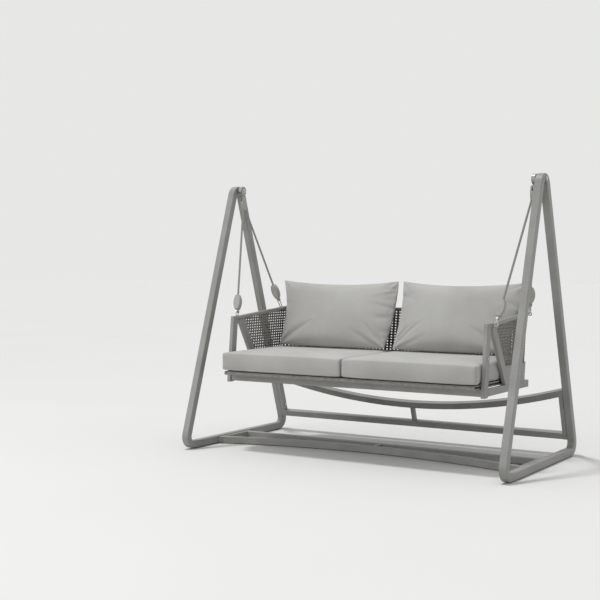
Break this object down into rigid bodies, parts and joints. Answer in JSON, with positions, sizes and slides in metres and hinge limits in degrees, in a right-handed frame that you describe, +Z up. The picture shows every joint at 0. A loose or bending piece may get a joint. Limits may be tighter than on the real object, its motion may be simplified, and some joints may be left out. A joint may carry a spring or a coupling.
{
  "type": "porch swing",
  "caption": "Free-standing outdoor swing bench: tube A-frames with a rear brace and floor bars, rope-hung seat with a woven shell, cushions and pillows.",
  "frame": {"origin": "on the floor, midway between the two pivots", "axes": "+Z up; -Y is the front, the way a sitter faces; +X to the right when seen from the front"},
  "size_m": [2.2, 1.1526, 1.6998],
  "materials": {
    "frame_paint": "satin powder coat",
    "pivot_metal": "satin",
    "hardware": "satin",
    "pod_plastic": "matte",
    "bearing_plastic": "matte",
    "glide": "matte",
    "rope": "braided",
    "woven_cane": "matte weave",
    "wrapped_rope": "wrapped cord",
    "cushion_fabric": "woven upholstery",
    "pillow_fabric": "woven upholstery"
  },
  "bodies": {
    "stand": {"brace_crossbar": "frame_paint", "brace_curved_rail": "frame_paint", "brace_strut": "frame_paint", "brace_upright_left": "frame_paint", "brace_upright_right": "frame_paint", "floor_bar_front": "frame_paint", "floor_bar_rear": "frame_paint", "floor_end_left": "frame_paint", "floor_end_right": "frame_paint", "floor_spacer": "frame_paint", "foot_glides": "glide", "pivot_bolts": "hardware", "pivot_housings": "pivot_metal", "pivot_nuts": "hardware", "side_frame_left": "frame_paint", "side_frame_right": "frame_paint", "stand_bolts": "hardware", "thrust_washers": "bearing_plastic"},
    "seat": {"arm_band_left": "frame_paint", "arm_band_right": "frame_paint", "arm_eyes": "hardware", "arm_rail": "frame_paint", "back_pillow_left": "pillow_fabric", "back_pillow_right": "pillow_fabric", "back_uprights": "frame_paint", "bench_screws": "hardware", "clasp_pins": "hardware", "front_post_left": "frame_paint", "front_post_right": "frame_paint", "front_rail": "frame_paint", "pivot_bushes": "bearing_plastic", "rear_rail": "frame_paint", "rope_clasp_left": "pod_plastic", "rope_clasp_right": "pod_plastic", "rope_front_left": "rope", "rope_front_right": "rope", "rope_pod_front_left": "pod_plastic", "rope_pod_front_right": "pod_plastic", "rope_pod_rear_left": "pod_plastic", "rope_pod_rear_right": "pod_plastic", "rope_rear_left": "rope", "rope_rear_right": "rope", "seat_cross_bars": "frame_paint", "seat_cushion_left": "cushion_fabric", "seat_cushion_right": "cushion_fabric", "seat_platform": "wrapped_rope", "shackle_front_left": "hardware", "shackle_front_right": "hardware", "shackle_pins": "hardware", "shackle_rear_left": "hardware", "shackle_rear_right": "hardware", "shell_base_rail": "frame_paint", "side_rail_left": "frame_paint", "side_rail_right": "frame_paint", "swivel_hub_left": "pivot_metal", "swivel_hub_right": "pivot_metal", "woven_back": "woven_cane", "woven_side_left": "woven_cane", "woven_side_right": "woven_cane"}
  },
  "joints": [
    {"name": "swing", "type": "hinge", "parent": "stand", "child": "seat", "pos_m": [0, 0, 1.668], "axis": [1, 0, 0], "range_deg": [-20, 20]}
  ]
}
